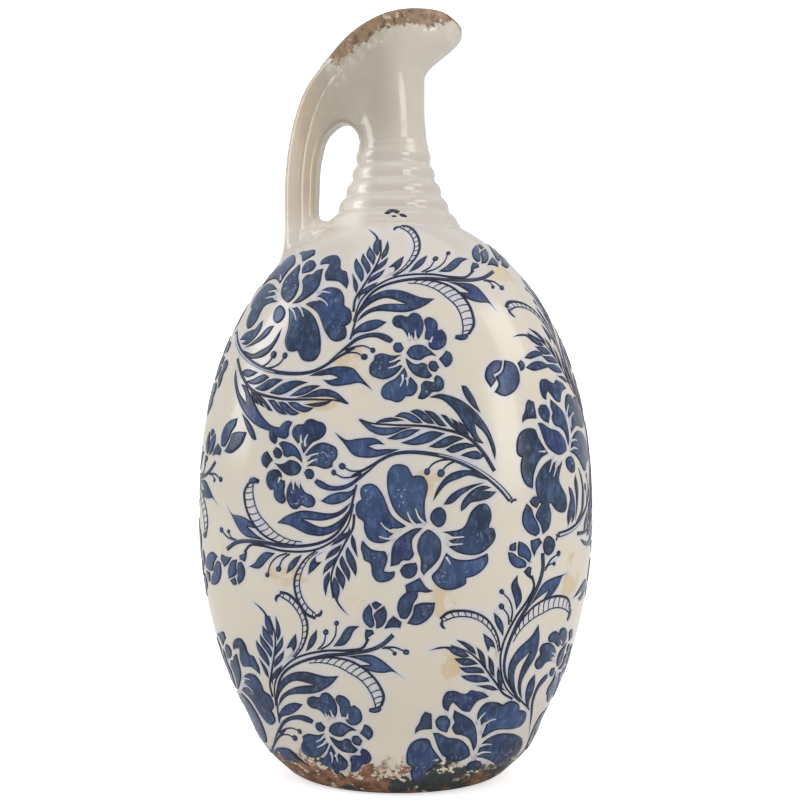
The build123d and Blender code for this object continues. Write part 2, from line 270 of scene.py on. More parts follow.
def climb_table():
    """Distance climbed along the front's middle line at each level, zero at the widest level."""
    depth = half_span(LEVELS, HALF_DEPTH, FOOT_HALF_DEPTH, POWER_Y)
    climb = np.concatenate([[0], np.cumsum(np.hypot(np.diff(LEVELS), np.diff(depth)))])
    return climb - np.interp(WIDEST, LEVELS, climb)


def girth_tables():
    """The girth at each level, and the angle at each level and share of the girth."""
    angles = np.linspace(-math.pi, math.pi, 1441) + FRONT_ANGLE
    girths, rows = [], []
    for level in LEVELS:
        ring = body_point(angles, np.full(angles.shape, level))
        along = np.concatenate([[0], np.cumsum(np.linalg.norm(np.diff(ring, axis=0), axis=1))])
        girths.append(along[-1])
        rows.append(np.interp((TURNS + 0.5) * along[-1], along, angles))
    return np.array(girths), np.array(rows)


CLIMB = climb_table()
GIRTH, ANGLES = girth_tables()


def on_body(along, up, quarter):
    """Points of the body from the unrolled glaze: along the girth from a quarter's middle, and up."""
    z = np.interp(up, CLIMB, LEVELS)
    turn = along / np.interp(z, LEVELS, GIRTH) + quarter / 4
    turn = (turn + 0.5) % 1 - 0.5
    row = np.clip(z / SHOULDER * (len(LEVELS) - 1), 0, len(LEVELS) - 1.001)
    column = (turn + 0.5) * (len(TURNS) - 1)
    column = np.clip(column, 0, len(TURNS) - 1.001)
    r, c = row.astype(int), column.astype(int)
    fr, fc = row - r, column - c
    low = ANGLES[r, c] * (1 - fc) + ANGLES[r, c + 1] * fc
    high = ANGLES[r + 1, c] * (1 - fc) + ANGLES[r + 1, c + 1] * fc
    return body_point(low * (1 - fr) + high * fr, z)


def on_body_with_normals(along, up, quarter):
    """The points of the body and its outward directions there."""
    point = on_body(along, up, quarter)
    across = on_body(along + SLOPE_STEP, up, quarter) - on_body(along - SLOPE_STEP, up, quarter)
    climb = on_body(along, up + SLOPE_STEP, quarter) - on_body(along, up - SLOPE_STEP, quarter)
    normal = np.cross(across, climb)
    return point, normal / np.maximum(np.linalg.norm(normal, axis=1, keepdims=True), 1e-9)


# ---- meshes -------------------------------------------------------------------------------


def make_piece(name, points, faces, material, values=None):
    """A smooth-shaded piece from points in millimetres, with float values on its vertices."""
    mesh = bpy.data.meshes.new(name)
    mesh.from_pydata((np.asarray(points) * MM).tolist(), [], faces)
    for key, numbers in (values or {}).items():
        layer = mesh.attributes.new(key, "FLOAT", "POINT")
        layer.data.foreach_set("value", np.asarray(numbers, np.float32))
    mesh.polygons.foreach_set("use_smooth", [True] * len(mesh.polygons))
    mesh.materials.append(material)
    mesh.update()
    piece = bpy.data.objects.new(name, mesh)
    bpy.context.scene.collection.objects.link(piece)
    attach(piece, "root")
    return piece


# ---- decoration: outlines, strokes and their relief ---------------------------------------
STEP = 0.8                  # spacing of points along an edge
CORNER = math.radians(62)   # a sharper turn stays a point
FINE_GRID = 0.85
COARSE_GRID = 2.4
FINE_BAND = 2.0             # the fine grid fills this far in from an edge
EDGE_MARGIN = 0.38
SKIRT_DEPTH = 0.5           # how far a shape's sides go into the body
EDGE_ROUNDING = 0.9


def spline_through(points, closed):
    """A smooth line through the points; where a closed outline turns sharply it keeps its corner."""
    p = np.array(points, float)
    n = len(p)
    tangents = np.zeros_like(p)
    corner = np.zeros(n, bool)
    for i in range(n):
        if not closed and i in (0, n - 1):
            corner[i] = True
            continue
        before, after = p[i] - p[i - 1], p[(i + 1) % n] - p[i]
        turn = abs(math.atan2(before[0] * after[1] - before[1] * after[0], before @ after))
        corner[i] = turn > CORNER
        lengths = np.linalg.norm(before), np.linalg.norm(after)
        tangents[i] = (before / lengths[0] * lengths[1] + after / lengths[1] * lengths[0]) / sum(lengths)
    line = []
    for i in range(n if closed else n - 1):
        j = (i + 1) % n
        chord = p[j] - p[i]
        length = np.linalg.norm(chord)
        start = chord if corner[i] else tangents[i] * length
        end = chord if corner[j] else tangents[j] * length
        count = max(1, round(length / STEP))
        for k in range(count):
            t = k / count
            line.append(
                (2 * t ** 3 - 3 * t ** 2 + 1) * p[i] + (t ** 3 - 2 * t ** 2 + t) * start
                + (3 * t ** 2 - 2 * t ** 3) * p[j] + (t ** 3 - t ** 2) * end
            )
    if not closed:
        line.append(p[-1])
    return np.array(line)


def stroke_outline(points, first, last):
    """The closed outline of a tapering brush stroke along a smooth line."""
    line = spline_through(points, False)
    run = np.gradient(line, axis=0)
    run /= np.linalg.norm(run, axis=1, keepdims=True)
    side = np.stack([-run[:, 1], run[:, 0]], 1)
    half = np.linspace(first, last, len(line))[:, None] / 2
    return np.concatenate([line + side * half, (line - side * half)[::-1]])


def disc_outline(x, y, radius):
    """A slightly uneven round dot."""
    count = max(8, round(2 * math.pi * radius / STEP))
    angles = np.arange(count) * 2 * math.pi / count
    uneven = radius * (1 + 0.06 * np.sin(2 * angles + x))
    return np.stack([x + uneven * np.cos(angles), y + uneven * np.sin(angles)], 1)


def edge_distance(points, outline):
    """Distance from each point to a closed outline, and whether it is inside."""
    start = outline
    span = np.roll(outline, -1, axis=0) - outline
    offset = points[:, None, :] - start[None]
    share = np.clip((offset * span).sum(2) / np.maximum((span ** 2).sum(1), 1e-9), 0, 1)
    distance = np.linalg.norm(offset - share[..., None] * span, axis=2).min(1)
    end = start + span
    crosses = (start[None, :, 1] > points[:, None, 1]) != (end[None, :, 1] > points[:, None, 1])
    rise = np.where(np.abs(span[:, 1]) < 1e-9, 1e-9, span[:, 1])
    cut = start[:, 0] + (points[:, None, 1] - start[:, 1]) * span[:, 0] / rise
    inside = (crosses & (points[:, None, 0] < cut)).sum(1) % 2 == 1
    return distance, inside


def grid_inside(outline, spacing, nearest, furthest):
    """Staggered grid points inside an outline, between two distances from its edge."""
    low, high = outline.min(0), outline.max(0)
    xs = np.arange(low[0], high[0], spacing)
    ys = np.arange(low[1], high[1], spacing * 0.866)
    x, y = np.meshgrid(xs, ys)
    x = x + (np.arange(len(ys)) % 2)[:, None] * spacing / 2
    points = np.stack([x.ravel(), y.ravel()], 1)
    if len(points) == 0:
        return points
    distance, inside = edge_distance(points, outline)
    return points[inside & (distance >= nearest) & (distance < furthest)]


def filled(outline):
    """Flat points, triangles and edge distances that fill an outline."""
    fine = grid_inside(outline, FINE_GRID, EDGE_MARGIN, FINE_BAND)
    coarse = grid_inside(outline, COARSE_GRID, FINE_BAND, 1e9)
    everything = np.concatenate([outline, fine, coarse])
    count = len(outline)
    edges = [(i, (i + 1) % count) for i in range(count)]
    flat, _, triangles, _, _, _ = geometry.delaunay_2d_cdt(
        [tuple(p) for p in everything], edges, [list(range(count))], 1, 1e-5
    )
    flat = np.array([tuple(p) for p in flat])
    distance, _ = edge_distance(flat, outline)
    return flat, [tuple(t) for t in triangles], distance


class Layer:
    """Collects many shapes of one kind into a single closed piece."""

    def __init__(self, name, base, relief):
        self.name, self.base, self.relief = name, base, relief
        self.points, self.faces, self.edge, self.tint = [], [], [], []
        self.count = 0

    def add(self, outline, place, tint, surface=on_body_with_normals):
        flat, triangles, distance = filled(outline)
        if not triangles:
            return
        point, normal = surface(*place(flat))
        share = np.clip(distance / EDGE_ROUNDING, 0, 1)
        height = self.base + self.relief * share * (2 - share)
        top = point + normal * height[:, None]
        bottom = point - normal * SKIRT_DEPTH
        n, first = len(flat), self.count
        directed = {(t[i], t[(i + 1) % 3]) for t in triangles for i in range(3)}
        for a, b, c in triangles:
            self.faces.append((first + a, first + b, first + c))
            self.faces.append((first + n + c, first + n + b, first + n + a))
        for a, b in directed:
            if (b, a) not in directed:
                self.faces.append((first + b, first + a, first + n + a, first + n + b))
        self.points += [top, bottom]
        self.edge += [distance, distance * 0]
        self.tint += [np.full(2 * n, tint)]
        self.count += 2 * n

    def make(self, material, slot):
        if not self.points:
            return None
        values = {"edge": np.concatenate(self.edge), "tint": np.concatenate(self.tint)}
        return make_piece(self.name, np.concatenate(self.points), self.faces, material, values)

# ---- one spray, placed round the body -----------------------------------------------------
VEINS = (
    ((25.2, -0.6), (22.8, 1.8), (21.0, 5.7)), ((29.6, 0.2), (26.7, 3.0), (24.9, 7.5)),
    ((18.0, -2.4), (12.7, -3.0), (9.7, -1.2), (8.2, 0.9)), ((14.5, -7.1), (10.3, -6.8), (7.3, -5.9)),
    ((39.5, -6.2), (43.6, -6.2), (47.8, -5.9)), ((39.5, -9.5), (43.6, -9.5), (47.2, -9.2)),
    ((39.2, -15.4), (41.3, -18.9)), ((-42.4, 21.6), (-43.6, 18.9)),
    ((-29.2, 36.7), (-29.4, 39.1), (-28.0, 42.5)), ((-31.0, 38.3), (-31.6, 39.9), (-31.4, 42.3)),
    ((-28.2, 31.4), (-25.6, 32.6), (-22.4, 33.4)), ((-27.8, 28.4), (-25.6, 29.8), (-22.8, 30.6)),
    ((-32.5, 20.3), (-32.3, 16.5)), ((-35.5, 20.3), (-35.3, 15.5)),
)
STEM_CORES = (((70.0, 11.8), (66.0, 16.6), (60.0, 21.9), (52.0, 27.2), (44.0, 30.9), (36.0, 33.0)),)
VEIN_OWNERS = (0, 0, 1, 1, 7, 7, 8, 16, 10, 10, 18, 18, 17, 17)    # the petals that carry them
BUDS = ((-69.6, -25.5, -110.0, 1.0), (-89.6, -25.5, -143.0, 1.42))      # x, y, crown direction, size
STEM_NEEDS = {5: "stem0", 6: "stem0", 7: "stem0", 8: "stem0", 9: "stem0",
              10: "stem3", 11: "stem3", 12: "stem4", 13: "stem4"}
BERRY_NEEDS = ("stem6", "stem7", "stem8", "stem9", "stem10", "stem11", "stem12", "stem13")
# height of a shape's edge over the body, and how much its middle rises over the edge
RELIEFS = {
    "stems": (0.09, 0.14), "leaves": (0.10, 0.18), "flowers": (0.13, 0.24), "veins": (0.42, 0.04),
}
VEIN_WIDTH, VEIN_TIP = 1.2, 0.45
STEM_CORE_WIDTH = 0.9
BRUSH_SPREAD = 0.25    # how much wider the glaze lies than the drawn stem
HORN_EDGE, HORN_RIM, RUNG_WIDTH = 1.5, 0.7, 0.42
LOWEST_SHAPE, HIGHEST_MARGIN = 3.0, 0.8
VOXEL = 1.5
FRONT_SHARE, BACK_SHARE = 0.22, 0.07    # how much of a shape may lie on another spray

# name, turn in degrees, pivot in the spray, where the pivot goes, quarter of the body
PLACES = (
    ("middle", 0.0, (0.0, 0.0), (0.0, 0.0), 0),
    ("top", 182.0, (0.0, 0.0), (-12.3, 106.8), 0),
    ("low", 192.9, (0.0, 0.0), (-57.6, -84.8), 0),
    ("right", 241.8, (0.0, 0.0), (64.8, -89.0), 0),
    ("lip_end", 238.3, (35.4, 3.4), (-33.0, 27.0), 1),
    ("handle_end", 191.0, (-27.3, 23.3), (15.0, -19.0), -1),
)
# more places at the back, where the front's design goes on unseen
BACK_PLACES = (
    ("fill_high", 150.0, (-27.3, 23.3), (8.0, 62.0), 0),
    ("fill_side", 20.0, (31.7, -2.8), (78.0, 44.0), 0),
    ("fill_edge", -40.0, (-27.3, 23.3), (-88.0, 66.0), 0),
)
taken = {}
edge_cloud = []


def turned(points, degrees):
    """Points turned about the origin."""
    angle = math.radians(degrees)
    cosine, sine = math.cos(angle), math.sin(angle)
    p = np.asarray(points, float)
    return np.stack([p[:, 0] * cosine - p[:, 1] * sine, p[:, 0] * sine + p[:, 1] * cosine], 1)


def placement(turn, pivot, target, quarter):
    """The function that carries the spray's points to their place on the unrolled glaze."""
    def place(points):
        moved = turned(np.asarray(points) - np.array(pivot), turn) + np.array(target)
        return moved[:, 0], moved[:, 1], quarter
    return place


def has_room(outline, place, owner, allowed):
    """Whether a shape stays on the body and clear of other sprays; if so its cells are taken."""
    along, up, quarter = place(np.concatenate([outline, grid_inside(outline, 1.2, 0.2, 1e9)]))
    if up.min() < CLIMB[0] + LOWEST_SHAPE or up.max() > CLIMB[-1] - HIGHEST_MARGIN:
        return False
    cells = [tuple(cell) for cell in np.round(on_body(along, up, quarter) / VOXEL).astype(int)]
    others = sum(1 for cell in cells if taken.get(cell, owner) != owner)
    if others > allowed * len(cells):
        return False
    for cell in cells:
        taken.setdefault(cell, owner)
    along, up, quarter = place(outline)
    edge_cloud.append(on_body(along, up, quarter))
    return True


def horn_strokes(horn):
    """The outer edge, the inner edge, the cap and the rungs of one ladder horn."""
    outer, inner, rungs, cap = horn
    outer_line, inner_line = spline_through(outer, False), spline_through(inner, False)
    shapes = [stroke_outline(outer, HORN_EDGE, HORN_EDGE * 0.6), stroke_outline(inner, HORN_RIM, HORN_RIM * 0.7)]
    shapes.append(spline_through(cap, True))
    for i in range(1, rungs + 1):
        share = (i - 0.3) / (rungs + 0.6)
        a = outer_line[int(share * (len(outer_line) - 1))]
        b = inner_line[int(share * (len(inner_line) - 1))]
        middle = (a + b) / 2 + (inner_line[-1] - inner_line[0]) * 0.012
        shapes.append(stroke_outline((a, middle, b), RUNG_WIDTH * 1.5, RUNG_WIDTH))
    return shapes


def spray_shapes():
    """Every shape of the spray: its layer, its own label, the label it hangs on, and its outline."""
    shapes = []
    for i, (line, first, last) in enumerate(STEMS):
        outline = stroke_outline(line, first + BRUSH_SPREAD, last + BRUSH_SPREAD)
        shapes.append(("stems", f"stem{i}", STEM_NEEDS.get(i), outline))
    for i, horn in enumerate(HORNS):
        for j, outline in enumerate(horn_strokes(horn)):
            label = f"horn{i}" if j == 0 else None
            shapes.append(("stems", label, None if j == 0 else f"horn{i}", outline))
    for (x, y, radius), need in zip(BERRIES, BERRY_NEEDS):
        shapes.append(("stems", None, need, disc_outline(x, y, radius)))
    for i, petal in enumerate(PEONY + SIDE_FLOWER):
        shapes.append(("flowers", f"petal{i}", None, spline_through(petal, True)))
    for i, (x, y, direction, size) in enumerate(BUDS):
        for j, part in enumerate(BUD):
            points = turned(np.array(part) * size, direction - 90) + np.array((x, y))
            label = f"bud{i}" if j == 0 else None
            shapes.append(("flowers", label, None if j == 0 else f"bud{i}", spline_through(points, True)))
    for leaf in LEAVES:
        shapes.append(("leaves", None, None, spline_through(leaf, True)))
    for need, leaflets in (("stem2", FERN), ("stem1", SIDE_FERN)):
        for leaflet in leaflets:
            shapes.append(("leaves", None, need, spline_through(leaflet, True)))
    for owner, vein in zip(VEIN_OWNERS, VEINS):
        outline = stroke_outline(vein, VEIN_WIDTH, VEIN_TIP)
        shapes.append(("veins", None, f"petal{owner}", outline))
    for core in STEM_CORES:
        outline = stroke_outline(core, STEM_CORE_WIDTH, STEM_CORE_WIDTH * 0.3)
        shapes.append(("veins", None, "stem0", outline))
    return shapes


def paint_spray(name, allowed, place, shapes, blue, cream):
    """Places one spray; a shape that hangs on one without room is left out too."""
    layers = {}
    for kind, (base, relief) in RELIEFS.items():
        layers[kind] = Layer(kind + "_" + name, base, relief)
    kept = {None}
    for kind, label, need, outline in shapes:
        tint = random.random()
        if need in kept and has_room(outline, place, name, allowed):
            layers[kind].add(outline, place, tint)
            kept.add(label)
    for kind, layer in layers.items():
        if kind == "veins":
            layer.make(cream, "cream_glaze")
        else:
            layer.make(blue, "blue_glaze")


def paint_collar_mark(blue):
    """A stray scrap of the pattern on the collar's lowest ring."""
    layer = Layer("collar_mark", *RELIEFS["leaves"])
    for outline in COLLAR_MARK:
        layer.add(spline_through(outline, True), lambda p: (p[:, 0], p[:, 1], 0), 0.5, on_collar)
    layer.make(blue, "blue_glaze")


def paint_extra_bud(blue):
    """The round bud and its small leaves beside the flower at the lip end."""
    place = placement(0.0, (0.0, 0.0), (0.0, 0.0), 0)
    layer = Layer("extra_bud", *RELIEFS["flowers"])
    for outline in EXTRA_BUD:
        shape = spline_through(outline, True)
        if has_room(shape, place, "extra", 1.0):
            layer.add(shape, place, random.random())
    layer.make(blue, "blue_glaze")


def paint_sprays(blue, cream):
    """Places the spray round the front and the ends, then again round the back where there is room."""
    shapes = spray_shapes()
    for name, *spot in PLACES:
        paint_spray(name, FRONT_SHARE, placement(*spot), shapes, blue, cream)
    for name, turn, pivot, target, quarter in PLACES + BACK_PLACES:
        place = placement(turn, pivot, target, quarter + 2)
        paint_spray(name + "_back", BACK_SHARE, place, shapes, blue, cream)

# ---- the neck, spout and handle as one glazed skin ----------------------------------------
GRID = 1.0
RING_COUNT = 5
RING_BULGE = 1.5
FLARE_POWER = 1.6
COLLAR_TOP = COLLAR_HIGH[2]
NECK_TOP_RADIUS = NECK_RADIUS * 17.5 / 33.5
BORE_RADIUS = 11.5
BORE_BASE_RADIUS = 22.0
LIP_WALL = 4.8
LIP_REACH = SPOUT_HIGH[0]
HANDLE_SIDE_REACH = LIP_REACH * 40 / 35.8
LIP_HALF_WIDTH = SPOUT_HIGH[1]
HANDLE_HALF_WIDTH = HANDLE_HIGH[1]
HANDLE_WIDENING = 4.5
HANDLE_ROUNDING = 4.5
CREASE_INSET, CREASE_WIDTH, CREASE_DEPTH = 9.0, 1.6, 1.3
UNDERLAY = 0.15             # the skin runs this far under the body's glaze
SKIN_BOTTOM = 250.0
RIM_BAND_REACH = 20.0
RIM_ARCH = (
    (-48.0, 352.6), (-34.8, 367.4), (-12.1, 384.0), (2.6, 389.8),
    (18.0, 391.6), (30.0, 390.2), (38.0, 384.6),
)
HANDLE_OUTER = (
    (-23.5, 376.0), (-35.2, 367.2), (-43.0, 358.0), (-48.8, 347.0),
    (-53.9, 331.5), (-56.8, 312.0), (-57.3, 285.0), (-57.4, 253.0),
)
HANDLE_INNER = (
    (-40.6, 258.0), (-40.8, 300.0), (-39.2, 319.0),
    (-34.6, 331.6), (-28.2, 336.4), (-12.0, 331.0),
)


def ease(value, low, high):
    """A smooth step that rises from 0 at low to 1 at high."""
    share = np.clip((value - low) / (high - low), 0, 1)
    return share * share * (3 - 2 * share)


def union(a, b, blend):
    """Two distance fields joined, with a fillet about as wide as the blend."""
    share = np.clip(blend - np.abs(a - b), 0, None) / blend
    return np.minimum(a, b) - share ** 2 * blend / 4


def common(a, b, blend):
    """What two distance fields share, with a rounded edge."""
    return -union(-a, -b, blend)


def as_distance(field):
    """Scales a field so that it measures distance near its surface."""
    slopes = np.gradient(field, GRID)
    return field / np.maximum(np.sqrt(sum(slope ** 2 for slope in slopes)), 1e-3)


def rim_height(x):
    """Height of the rim's arch over a place along the vase."""
    arch = spline_through(RIM_ARCH, False)
    return np.interp(x, arch[:, 0], arch[:, 1])


def collar_radius(z):
    """Outer radius of the ribbed collar."""
    share = np.clip((COLLAR_TOP - z) / (COLLAR_TOP - SHOULDER), 0, 1)
    flare = NECK_TOP_RADIUS + (NECK_RADIUS - NECK_TOP_RADIUS) * share ** FLARE_POWER
    wave = np.abs(np.sin(math.pi * share * RING_COUNT))
    return flare + RING_BULGE * wave ** 1.25


def on_collar(along, up, quarter):
    """Points of the collar's outside and its outward directions, from its foot at the front."""
    angle = FRONT_ANGLE + quarter * math.pi / 2 + along / NECK_RADIUS
    z = SHOULDER + up
    slope = (collar_radius(z + SLOPE_STEP) - collar_radius(z - SLOPE_STEP)) / (2 * SLOPE_STEP)
    radius = collar_radius(z)
    point = np.stack([radius * np.cos(angle), radius * np.sin(angle), z], 1)
    normal = np.stack([np.cos(angle), np.sin(angle), -slope], 1)
    return point, normal / np.linalg.norm(normal, axis=1, keepdims=True)


def spout_reaches(z):
    """Reach towards the lip, reach towards the handle and half width of the spout."""
    waist = NECK_TOP_RADIUS - 1.2 * ease(z, COLLAR_TOP, 343)
    lip = waist + (LIP_REACH - waist) * ease(z, 359.3, 380.8)
    handle_side = waist + (HANDLE_SIDE_REACH - waist) * ease(z, COLLAR_TOP, 375)
    half_width = waist + (LIP_HALF_WIDTH - waist) * ease(z, 335, 390)
    return lip, handle_side, half_width


def oval(x, y, z, inset):
    """The spout's egg-shaped section as a field, moved inwards by inset."""
    lip, handle_side, half_width = spout_reaches(z)
    reach = np.where(x > 0, lip, handle_side) - inset
    half = half_width - inset
    return (np.sqrt((x / reach) ** 2 + (y / half) ** 2) - 1) * np.minimum(reach, half)


def handle_field(x, y, z):
    """The strap handle: a flat outline in the X-Z plane, given a rounded thickness along Y."""
    outer, inner = spline_through(HANDLE_OUTER, False), spline_through(HANDLE_INNER, False)
    flat = np.stack([x[:, 0, :].ravel(), z[:, 0, :].ravel()], 1)
    distance, inside = edge_distance(flat, np.concatenate([outer, inner]))
    outline = np.where(inside, -distance, distance).reshape(x[:, 0, :].shape)
    from_outer = np.min(np.linalg.norm(flat[:, None] - outer[None], axis=2), axis=1)
    from_outer = from_outer.reshape(outline.shape)
    half = HANDLE_HALF_WIDTH + HANDLE_WIDENING * ease(z[:, 0, :], 325, 372)
    half -= CREASE_DEPTH * np.exp(-((from_outer - CREASE_INSET) / CREASE_WIDTH) ** 2)
    q1 = outline[:, None, :] + HANDLE_ROUNDING
    q2 = np.abs(y) - half[:, None, :] + HANDLE_ROUNDING
    outside = np.hypot(np.maximum(q1, 0), np.maximum(q2, 0))
    return outside + np.minimum(np.maximum(q1, q2), 0) - HANDLE_ROUNDING


def neck_field():
    """Corner of the grid and the distance field of collar, spout, handle and hidden underlay."""
    low = np.array([HANDLE_LOW[0] - 6, SPOUT_LOW[1] - 5 * GRID, SKIN_BOTTOM])
    low[1] = min(low[1], -NECK_RADIUS - 9)
    high = np.array([SPOUT_HIGH[0] + 4, -low[1], SPOUT_HIGH[2] + 4])
    axes = [np.arange(a, b, GRID) for a, b in zip(low, high)]
    x, y, z = np.meshgrid(*axes, indexing="ij")
    r = np.hypot(x, y)
    body_x = half_span(z, HALF_WIDTH, FOOT_HALF_WIDTH, POWER_X)
    body_y = half_span(z, HALF_DEPTH, FOOT_HALF_DEPTH, POWER_Y)
    share = np.clip((z - WIDEST) / (SHOULDER - WIDEST), 0, 1)
    power = 2 + (SQUARENESS - 2) * (1 - share ** SHARE_POWER)
    body = ((np.abs(x) / body_x) ** power + (np.abs(y) / body_y) ** power) ** (1 / power) - 1
    body = as_distance(body * NECK_RADIUS) + UNDERLAY
    body = np.maximum(body, z - SHOULDER)
    collar = as_distance(r - collar_radius(z))
    collar = np.maximum(collar, np.maximum(SHOULDER - 6 - z, z - COLLAR_TOP - 1))
    slope = np.gradient(rim_height(axes[0]), GRID)
    below_rim = (z - rim_height(x)) / np.hypot(1, slope)[:, None, None]
    spout = np.maximum(as_distance(oval(x, y, z, 0)), COLLAR_TOP - 2 - z)
    spout = common(spout, below_rim, 3.0)
    solid = union(union(collar, spout, 2.5), body, 4.0)
    crotch = ease(z, 275, 282) * (1 - ease(z, 282, 291)) * ease(x, -47, -39)
    fillet = 4.5 + 5.5 * (1 - ease(z, 275, 325)) + 12.0 * crotch
    solid = union(solid, handle_field(x, y, z), fillet)
    solid = common(solid, below_rim, 2.0)
    fall = np.clip((COLLAR_TOP - z) / (COLLAR_TOP - SHOULDER), 0, 1.5)
    bore_low = r - (BORE_RADIUS + (BORE_BASE_RADIUS - BORE_RADIUS) * fall)
    inset = NECK_TOP_RADIUS - BORE_RADIUS
    inset = inset + (LIP_WALL - inset) * ease(z, COLLAR_TOP, 343)
    bore_high = as_distance(oval(x, y, z, inset))
    bore = np.where(z < COLLAR_TOP, bore_low, bore_high)
    field = common(solid, -bore, 3.0)
    for side in (0, -1):
        field[side], field[:, side], field[:, :, side] = GRID, GRID, GRID
    return low, field


def surface_of(low, field):
    """Points and faces of the field's zero surface: one point per crossed cell, then pulled onto it."""
    inside = field < 0
    cells = tuple(n - 1 for n in field.shape)
    total, count = np.zeros(cells + (3,)), np.zeros(cells)
    for axis in range(3):
        others = [a for a in range(3) if a != axis]
        for first in (0, 1):
            for second in (0, 1):
                begin, finish = [None] * 3, [None] * 3
                begin[axis], finish[axis] = slice(0, cells[axis]), slice(1, cells[axis] + 1)
                for other, offset in zip(others, (first, second)):
                    begin[other] = finish[other] = slice(offset, offset + cells[other])
                a, b = field[tuple(begin)], field[tuple(finish)]
                crossed = inside[tuple(begin)] != inside[tuple(finish)]
                share = np.where(crossed, a / np.where(crossed, a - b, 1), 0)
                total[..., axis] += share
                total[..., others[0]] += crossed * first
                total[..., others[1]] += crossed * second
                count += crossed
    used = count > 0
    index = np.full(cells, -1)
    index[used] = np.arange(used.sum())
    points = np.argwhere(used) + total[used] / count[used][:, None]
    faces = []
    for axis in range(3):
        u, v = (axis + 1) % 3, (axis + 2) % 3
        begin, finish = [slice(1, -1)] * 3, [slice(1, -1)] * 3
        begin[axis], finish[axis] = slice(0, -1), slice(1, None)
        crossed = inside[tuple(begin)] != inside[tuple(finish)]
        spots = np.argwhere(crossed)
        spots[:, u] += 1
        spots[:, v] += 1
        ring = []
        for du, dv in ((1, 1), (0, 1), (0, 0), (1, 0)):
            cell = spots.copy()
            cell[:, u] -= du
            cell[:, v] -= dv
            ring.append(index[tuple(cell.T)])
        ring = np.stack(ring, 1)
        leaving = inside[tuple(spots.T)]
        faces.append(np.where(leaving[:, None], ring, ring[:, ::-1]))
    slopes = np.stack(np.gradient(field), -1)
    for _ in range(3):
        value, slope = sampled(field, points), sampled(slopes, points)
        points = points - slope * (value / np.maximum((slope ** 2).sum(1), 0.05))[:, None]
    return points * GRID + low, np.concatenate(faces).tolist()


def sampled(grid, points):
    """Values of a grid between its corners."""
    limit = np.array(grid.shape[:3]) - 1.001
    p = np.clip(points, 0, limit)
    base = p.astype(int)
    rest = p - base
    value = 0
    for dx in (0, 1):
        for dy in (0, 1):
            for dz in (0, 1):
                weight = np.ones(len(p))
                for part, step in zip(rest.T, (dx, dy, dz)):
                    weight = weight * (part if step else 1 - part)
                corner = grid[base[:, 0] + dx, base[:, 1] + dy, base[:, 2] + dz]
                value = value + corner * (weight if corner.ndim == 1 else weight[:, None])
    return value


def make_neck_skin(material):
    points, faces = surface_of(*neck_field())
    slope = np.gradient(rim_height(points[:, 0] + np.array([[-1], [0], [1]])), axis=0)[1]
    below = (rim_height(points[:, 0]) - points[:, 2]) / np.hypot(1, slope)
    rim = np.clip(1 - below / RIM_BAND_REACH, 0, 1) * ease(points[:, 0], -38, -24)
    near = np.full(len(points), 99.0)
    values = {"rim": rim, "near": near}
    piece = make_piece("neck_skin", points, faces, material, values)
    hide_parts("neck_collar", "spout", "handle")

# ---- the glazed body ----------------------------------------------------------------------
COLUMNS = 360
OUTER_ROWS = 184
INNER_ROWS = 26
WALL = 6.0
SLAB = 7.0
FOOT_ROUNDING = 5.0
FOOT_RING = 9.0
RECESS = 1.5
BAND_TOP = 15.5             # the bare, worn clay reaches about this high
WEAR_DEPTH = 0.5
NEAR_LIMIT = 30.0
STAINS = (
    # along the girth, up, half width, half height of a tan stain on the front
    (-7.0, 80.5, 14.0, 6.0), (69.0, 123.0, 9.0, 7.0), (38.0, -36.5, 6.5, 10.0), (41.0, -69.0, 6.0, 8.0),
    (108.0, -27.0, 10.0, 12.0), (-40.0, -26.0, 12.0, 5.0), (33.0, 20.0, 11.0, 7.0), (-20.0, 58.0, 8.0, 4.0),
)


def body_rings():
    """Rings of points from the shoulder down the outside, under the foot and up the inside."""
    angles = np.arange(COLUMNS) * 2 * math.pi / COLUMNS
    rings = []

    def ring(shape_height, inset, height, shrink=1.0):
        points = body_point(angles, np.full(COLUMNS, float(shape_height)), inset)
        points[:, :2] *= shrink
        points[:, 2] = height
        rings.append(points)

    for z in np.linspace(SHOULDER, FOOT_ROUNDING, OUTER_ROWS):
        ring(z, 0, z)
    for turn in np.linspace(0, math.pi / 2, 6)[1:]:
        drop = FOOT_ROUNDING * (1 - math.sin(turn))
        ring(drop, FOOT_ROUNDING * (1 - math.cos(turn)), drop)
    ring(0, FOOT_RING, 0)
    ring(0, FOOT_RING + 1.0, RECESS)
    for shrink in (0.75, 0.5, 0.25, 0.02):
        ring(0, FOOT_RING + 1.0, RECESS, shrink)
    for shrink in (0.02, 0.4, 0.8, 0.96):
        ring(SLAB, WALL, SLAB, shrink)
    for z in np.linspace(SLAB + 2, SHOULDER, INNER_ROWS):
        ring(z, WALL, z)
    return np.array(rings)


def wear_body(points):
    """Sinks the worn band at the foot a little into the clay, unevenly."""
    radius = np.hypot(points[:, 0], points[:, 1])
    lumps = 0
    for waves, phase in ((9, 0.3), (23, 1.7), (41, 4.1)):
        angle = np.arctan2(points[:, 1], points[:, 0]) * waves
        lumps = lumps + np.sin(angle + phase + points[:, 2] * 0.35 * (1 + phase)) / 3
    depth = WEAR_DEPTH * (1 - ease(points[:, 2], BAND_TOP - 7, BAND_TOP)) * (0.55 + 0.45 * lumps)
    points[:, :2] *= (1 - depth / np.maximum(radius, 1))[:, None]
    return points


